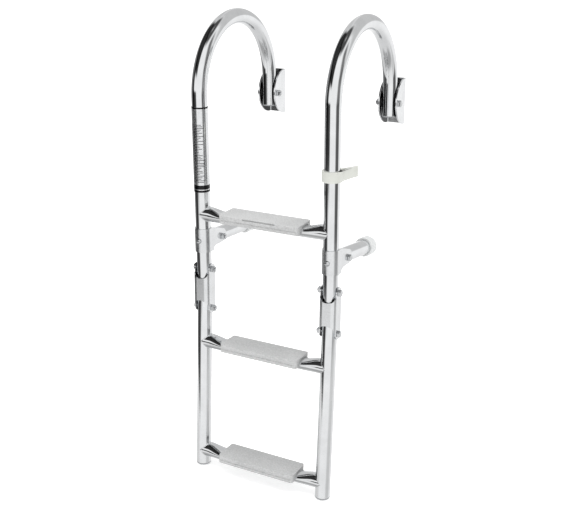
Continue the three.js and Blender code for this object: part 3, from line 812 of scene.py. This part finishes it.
def standoff(name, side):
    """The arm from its bolt along +Y and the bumper on its end."""
    body = f"{name}_standoff"
    pivot = Vector((side * STILE_X, ARM_Y + STILE_Y, ARM_Z + RUNG_Z))
    bumper_centre = centre_mm(f"{name}_bumper")
    droop = math.atan2(pivot.z - bumper_centre.z, bumper_centre.y - pivot.y)
    length = 112.0
    room = ARM_Y - TUBE_R - GAP
    near = (room - TUBE_R * math.sin(droop)) / math.cos(droop)
    frames = [(Vector((0, y, 0)), Z, X) for y in (-near, -near / 2, 0, length / 2, length)]
    piece = mesh_object(f"{name}_arm_tube", *tube_skin(frames, TUBE_R, TUBE_R - WALL))
    keep = [(length + 1, TUBE_R + 1), (0, TUBE_R + 1), *arc(0, 0, near, 90, 180, 40),
            (-near, -TUBE_R - 1), (length + 1, -TUBE_R - 1)]
    trim(piece, keep, "x", -2 * TUBE_R, 2 * TUBE_R)
    place = Matrix.Translation(pivot) @ Matrix.Rotation(-droop, 4, "X")
    finish_piece(piece, body, TUBE, [f"{name}_standoff_arm"], place)

    radius, depth, overlap = 16.5, 24.0, 17.0
    bore, lip, rim, rounding = TUBE_R + 0.08, 0.3, 1.4, 5.0
    profile = [
        (0, overlap), (bore, overlap), (bore, lip), (bore + lip, 0), (radius - rim, 0),
        *arc(radius - rim, rim, rim, -90, 0, 6)[1:], (radius, depth - rounding),
        *arc(radius - rounding, depth - rounding, rounding, 0, 90, 12)[1:], (0, depth),
    ]
    cup = lathe(f"{name}_end_bumper", profile, "y", 72)
    at_end = place @ Matrix.Translation((0, length + GAP - overlap, 0))
    finish_piece(cup, body, "white_bumpers", [f"{name}_bumper"], at_end)


# ------------------------------------------------------------------------------------------------
# Treads, clip and label
# ------------------------------------------------------------------------------------------------
def tread(name, body, place, slot_mark=False):
    """A slab with a seat for the pressed rung, a groove along its front and, if asked, a slot there."""
    low, high = box_mm("top_tread")
    half, back, front = (high.x - low.x) / 2, high.y - STILE_Y, STILE_Y - low.y
    top, bottom, edge, corner, chamfer = high.z - RUNG_Z, low.z - RUNG_Z, 1.6, 5.5, 0.8
    groove_z, groove = 1.6, [(0, 1.2), (0.5, 1.0), (0.8, 0.5)]      # depths, and half widths at them
    seat = [rung_point(0, math.radians(a), -GAP) for a in range(-20, 201, 4)]
    seat = [(p.y, p.z) for p in seat if p.z > bottom]
    profile = [
        *arc(back - edge, top - edge, edge, 0, 90, 8),
        *arc(-front + edge, top - edge, edge, 90, 180, 8),
        *[(-front + depth, groove_z + half_width) for depth, half_width in groove],
        *[(-front + depth, groove_z - half_width) for depth, half_width in reversed(groove)],
        (-front, bottom + chamfer), (-front + 0.25, bottom + 0.25), (-front + chamfer, bottom),
        (seat[0][0], bottom), *seat, (seat[-1][0], bottom), (back - chamfer, bottom),
        (back, bottom + chamfer),
    ]
    plan = [
        *arc(half - corner, back - corner, corner, 0, 90, 12),
        *arc(-half + corner, back - corner, corner, 90, 180, 12),
        *arc(-half + corner, -front + corner, corner, 180, 270, 12),
        *arc(half - corner, -front + corner, corner, 270, 360, 12),
    ]
    piece = prism(f"{name}_pad", profile, "x", -half - 2, half + 2)
    trim(piece, plan, "z", bottom - 2, top + 2)
    if slot_mark:
        start, end, slot_z, slot_r, slot_depth = -26.0, 30.0, 7.9, 1.2, 1.8
        slot = [*arc(end, slot_z, slot_r, -90, 90, 10), *arc(start, slot_z, slot_r, 90, 270, 10)]
        loops = [[Vector((x, y, z)) for x, z in slot] for y in (-front - 1, -front + slot_depth)]
        combine(piece, mesh_object("cut", *rings(loops)), "DIFFERENCE")
    bake_bevel(piece, 0.5, 50)
    finish_piece(piece, body, "grey_tread_plastic", [name], place, sharp=50)


def clip():
    """The ring round the right stile, and its finger, which reaches towards the boat."""
    low, high = box_mm("storage_clip")
    height = high.z - low.z
    ring_r, reach, tip_x, wall, bore, steps = 15.9, 43.0, 24.0, 2.8, TUBE_R + GAP, 96
    ring = arc(0, 0, ring_r, 0, 360, steps)[:-1]
    piece = prism("clip_ring_and_finger", ring, "z", 0, height)
    finger = [
        *arc(0, 0, ring_r - 0.4, -20, 20, 8), (tip_x - 3.5, reach - 12), (tip_x, reach),
        (tip_x - wall, reach + 1.5), (tip_x - wall - 4.5, reach - 7), (tip_x - wall - 9, reach - 15),
        *arc(0, 0, ring_r - 0.4, 75, 60, 4), (tip_x - wall - 6, reach - 20), (bore + 1.2, bore - 3),
    ]
    combine(piece, prism("cut", finger, "z", 0, height), "UNION")
    drill(piece, "z", bore, -1, height + 1, count=steps)
    bake_bevel(piece, 0.6, 35)
    place = Matrix.Translation((STILE_X, STILE_Y, low.z))
    finish_piece(piece, "storage_clip", "off_white_clip_plastic", ["storage_clip"], place)


def label():
    low, high = box_mm("label_sleeve")
    outer, inner = (high.x - low.x) / 2, TUBE_R + 0.05
    frames = straight_frames((low.x + high.x) / 2, low.z, high.z, 4)
    piece = mesh_object("label_film", *tube_skin(frames, outer, inner, rim=0.15))
    place = Matrix.Translation((0, STILE_Y, 0))
    finish_piece(piece, "upper_section", "printed_label", ["label_sleeve"], place)


# ------------------------------------------------------------------------------------------------
# The ladder
# ------------------------------------------------------------------------------------------------
for side_name, side in SIDES:
    upper_rail(side_name, side)
    lower_rail(side_name, side)
    mount_bracket(side_name, side)
    hinge_channel(side_name, side)
    collar(side_name, side)
    standoff(side_name, side)
    x = side * STILE_X
    at_leg = Matrix.Translation((x, LEG_Y, LEG_END))
    at_butt = UPPER @ Matrix.Translation((x, 0, BUTT_Z - RUNG_Z))
    at_head = LOWER @ Matrix.Translation((x, 0, (PIN_SPACING - BUTT_GAP) / 2))
    at_foot = LOWER @ Matrix.Translation((x, 0, -FOOT_DROP))
    for cap, node, section, place, along, flange in (
        ("hook_cap", "hook_plug", "upper_section", at_leg, 1, HOOK_FLANGE),
        ("upper_cap", "upper_joint_plug", "upper_section", at_butt, 1, JOINT_FLANGE),
        ("lower_cap", "lower_joint_plug", "lower_section", at_head, -1, JOINT_FLANGE),
        ("foot_cap", "foot_plug", "lower_section", at_foot, 1, FOOT_FLANGE),
    ):
        plug(f"{side_name}_{cap}", f"{side_name}_{node}", section, place, along, flange)

rung("top_rung", "upper_section", UPPER)
tread("top_tread", "upper_section", UPPER, slot_mark=True)
for step_name in ("mid", "bottom"):
    step_place = LOWER @ Matrix.Translation((0, 0, along_lower(f"{step_name}_rung")))
    rung(f"{step_name}_rung", "lower_section", step_place)
    tread(f"{step_name}_tread", "lower_section", step_place)
clip()
label()


# ------------------------------------------------------------------------------------------------
# Camera
# ------------------------------------------------------------------------------------------------
TURN, PITCH, ROLL = 0.461, 0.303, 0.003
CAMERA_PLACE = (0.6515, -1.4525, 0.2752)
SENSOR, LENS, SHIFT = 36, 54.818, (-0.0102, -0.068)
CLIP_START, CLIP_END = 0.05, 100
camera = bpy.data.cameras.new("camera")
camera_object = bpy.data.objects.new("camera", camera)
bpy.context.scene.collection.objects.link(camera_object)
level = Vector((math.cos(TURN), math.sin(TURN), 0))
ahead = Vector((-math.sin(TURN), math.cos(TURN), 0))
forward = ahead * math.cos(PITCH) - Z * math.sin(PITCH)
upward = ahead * math.sin(PITCH) + Z * math.cos(PITCH)
right_axis = level * math.cos(ROLL) + upward * math.sin(ROLL)
up_axis = -level * math.sin(ROLL) + upward * math.cos(ROLL)
pose = Matrix((right_axis, up_axis, -forward)).transposed().to_4x4()
pose.translation = Vector(CAMERA_PLACE)
camera_object.matrix_world = pose
camera.sensor_width, camera.lens = SENSOR, LENS
camera.shift_x, camera.shift_y = SHIFT
camera.clip_start, camera.clip_end = CLIP_START, CLIP_END
bpy.context.scene.camera = camera_object

# ------------------------------------------------------------------------------------------------
# Floor, lights and surroundings
# ------------------------------------------------------------------------------------------------
FLOOR_SIZE, FLOOR_DROP, FLOOR_GLOW = 40.0, 0.0005, 0.42
FLOOR_WHITE, FLOOR_WHITER = (0.90, 0.90, 0.90), (0.93, 0.93, 0.93)
LIGHT_AIM, LIGHT_SIZE = (0, -0.25, -0.2), 1.8
KEY_PLACE, KEY_POWER = (0.5, -0.7, 2.4), 53
FILL_PLACE, FILL_POWER = (-1.6, -1.2, 1.6), 3
AMBIENT = 0.85                      # the world's strength for the light that falls on the ladder
BACKDROP_LIFT = 0.4                 # what the camera sees of it above that
TENT, TENT_FALL = 0.98, 0.25        # what the gloss sees, and how much less below the horizon
SIDE_GLOW = 0.22                    # the least that it sees towards the far left

bpy.ops.mesh.primitive_plane_add(size=FLOOR_SIZE, location=(0, 0, cad_low.z - FLOOR_DROP))
floor = bpy.context.active_object
floor.name = "floor"
floor_nodes = Nodes("floor")
floor_nodes.link(
    floor_nodes.mix(floor_nodes.noise(0.6, 3), FLOOR_WHITE, FLOOR_WHITER),
    floor_nodes.shader.inputs["Base Color"])
floor_nodes.set(
    Roughness=0.9, Specular_IOR_Level=0.0, Emission_Color=(1, 1, 1, 1), Emission_Strength=FLOOR_GLOW)
floor.data.materials.append(floor_nodes.material)
floor.visible_glossy = False


def area_light(name, place, power):
    lamp = bpy.data.lights.new(name, "AREA")
    lamp.shape, lamp.size, lamp.energy = "DISK", LIGHT_SIZE, power
    lamp_object = bpy.data.objects.new(name, lamp)
    bpy.context.scene.collection.objects.link(lamp_object)
    lamp_object.location = place
    lamp_object.rotation_mode = "QUATERNION"
    lamp_object.rotation_quaternion = (Vector(LIGHT_AIM) - Vector(place)).to_track_quat("-Z", "Y")
    lamp_object.visible_glossy = False


area_light("key", KEY_PLACE, KEY_POWER)
area_light("fill", FILL_PLACE, FILL_POWER)


# The dark flags round the ladder, in degrees: azimuth from the camera's side, positive to the right, and
# elevation, each from, to and softness, then how dark the flag is.
FLAGS = (
    (-150, -42, 7, 18, 74, 5, 0.97),
    (-150, -74, 7, -14, 30, 4, 0.96),
    (-150, -41, 8, -16, -2, 2, 0.95),
    (-150, -60, 10, -23.4, -15, 1, 0.95),
    (40, 90, 8, -22, -4, 4, 0.88),
    (38, 95, 12, -36, -24, 3, 0.28),
    (-160, -70, 18, -40, -25, 2, 0.20),
    (44, 84, 8, -6, 18, 4, 0.78),
    (46, 78, 11, 14, 50, 8, 0.80),
    (92, 181, 10, 3, 60, 4, 0.38),
    (-181, -150, 14, 3, 60, 4, 0.38),
    (-180, 180, 1, 64, 90, 8, 0.92),
    (-112, 62, 20, -70, -42, 8, 0.45),
)
GLOW_WINDOW = (-170, -108, 5, -32, 20, 6)       # where the side glow is, in the same order


def surroundings():
    """A white studio tent with soft dark flags, which only the gloss of the steel sees. A weak glow lifts
    the flags to the far left, so that sheet faces seen from the side don't go black. The pieces get even
    white light, and the camera sees a white backdrop."""
    world = bpy.data.worlds.new("studio")
    bpy.context.scene.world = world
    world.use_nodes = True
    tree = world.node_tree
    background = tree.nodes["Background"]

    def add(kind, **settings):
        node = tree.nodes.new(kind)
        for key, value in settings.items():
            setattr(node, key, value)
        return node

    def calc(operation, *values):
        node = add("ShaderNodeMath", operation=operation)
        for socket, value in zip(node.inputs, values):
            if isinstance(value, (int, float)):
                socket.default_value = value
            else:
                tree.links.new(value, socket)
        return node.outputs[0]

    def smooth(value, low, high):
        node = add("ShaderNodeMapRange", interpolation_type="SMOOTHSTEP")
        node.inputs["From Min"].default_value = low
        node.inputs["From Max"].default_value = high
        tree.links.new(value, node.inputs["Value"])
        return node.outputs["Result"]

    def window(value, low, high, soft):
        rise = smooth(value, low - soft, low + soft)
        fall = smooth(value, high + soft, high - soft)
        return calc("MULTIPLY", rise, fall)

    direction = add("ShaderNodeTexCoord").outputs["Generated"]
    axes = add("ShaderNodeSeparateXYZ")
    tree.links.new(direction, axes.inputs[0])
    x, y, z = axes.outputs
    to_front = (math.sin(TURN), -math.cos(TURN))
    to_right = (math.cos(TURN), math.sin(TURN))
    ahead_part = calc("ADD", calc("MULTIPLY", x, to_front[0]), calc("MULTIPLY", y, to_front[1]))
    side_part = calc("ADD", calc("MULTIPLY", x, to_right[0]), calc("MULTIPLY", y, to_right[1]))
    azimuth = calc("DEGREES", calc("ARCTAN2", side_part, ahead_part))
    elevation = calc("DEGREES", calc("ARCSINE", z))

    def patch(az0, az1, az_soft, el0, el1, el_soft):
        return calc("MULTIPLY", window(azimuth, az0, az1, az_soft), window(elevation, el0, el1, el_soft))

    light = 1.0
    for *place, dark in FLAGS:
        light = calc("MULTIPLY", light, calc("SUBTRACT", 1.0, calc("MULTIPLY", patch(*place), dark)))
    base = calc("SUBTRACT", TENT, calc("MULTIPLY", smooth(elevation, -10, -60), TENT_FALL))
    side_glow = calc("MULTIPLY", patch(*GLOW_WINDOW), SIDE_GLOW)
    seen = calc("MAXIMUM", calc("MULTIPLY", light, base), side_glow)
    path = add("ShaderNodeLightPath")
    mix = add("ShaderNodeMix", data_type="FLOAT")
    tree.links.new(path.outputs["Is Glossy Ray"], mix.inputs["Factor"])
    backdrop = calc("ADD", calc("MULTIPLY", path.outputs["Is Camera Ray"], BACKDROP_LIFT), AMBIENT)
    tree.links.new(backdrop, mix.inputs["A"])
    tree.links.new(seen, mix.inputs["B"])
    tree.links.new(mix.outputs[0], background.inputs["Strength"])
    background.inputs["Color"].default_value = (1, 1, 1, 1)


surroundings()
bpy.context.scene.view_settings.view_transform = "Standard"
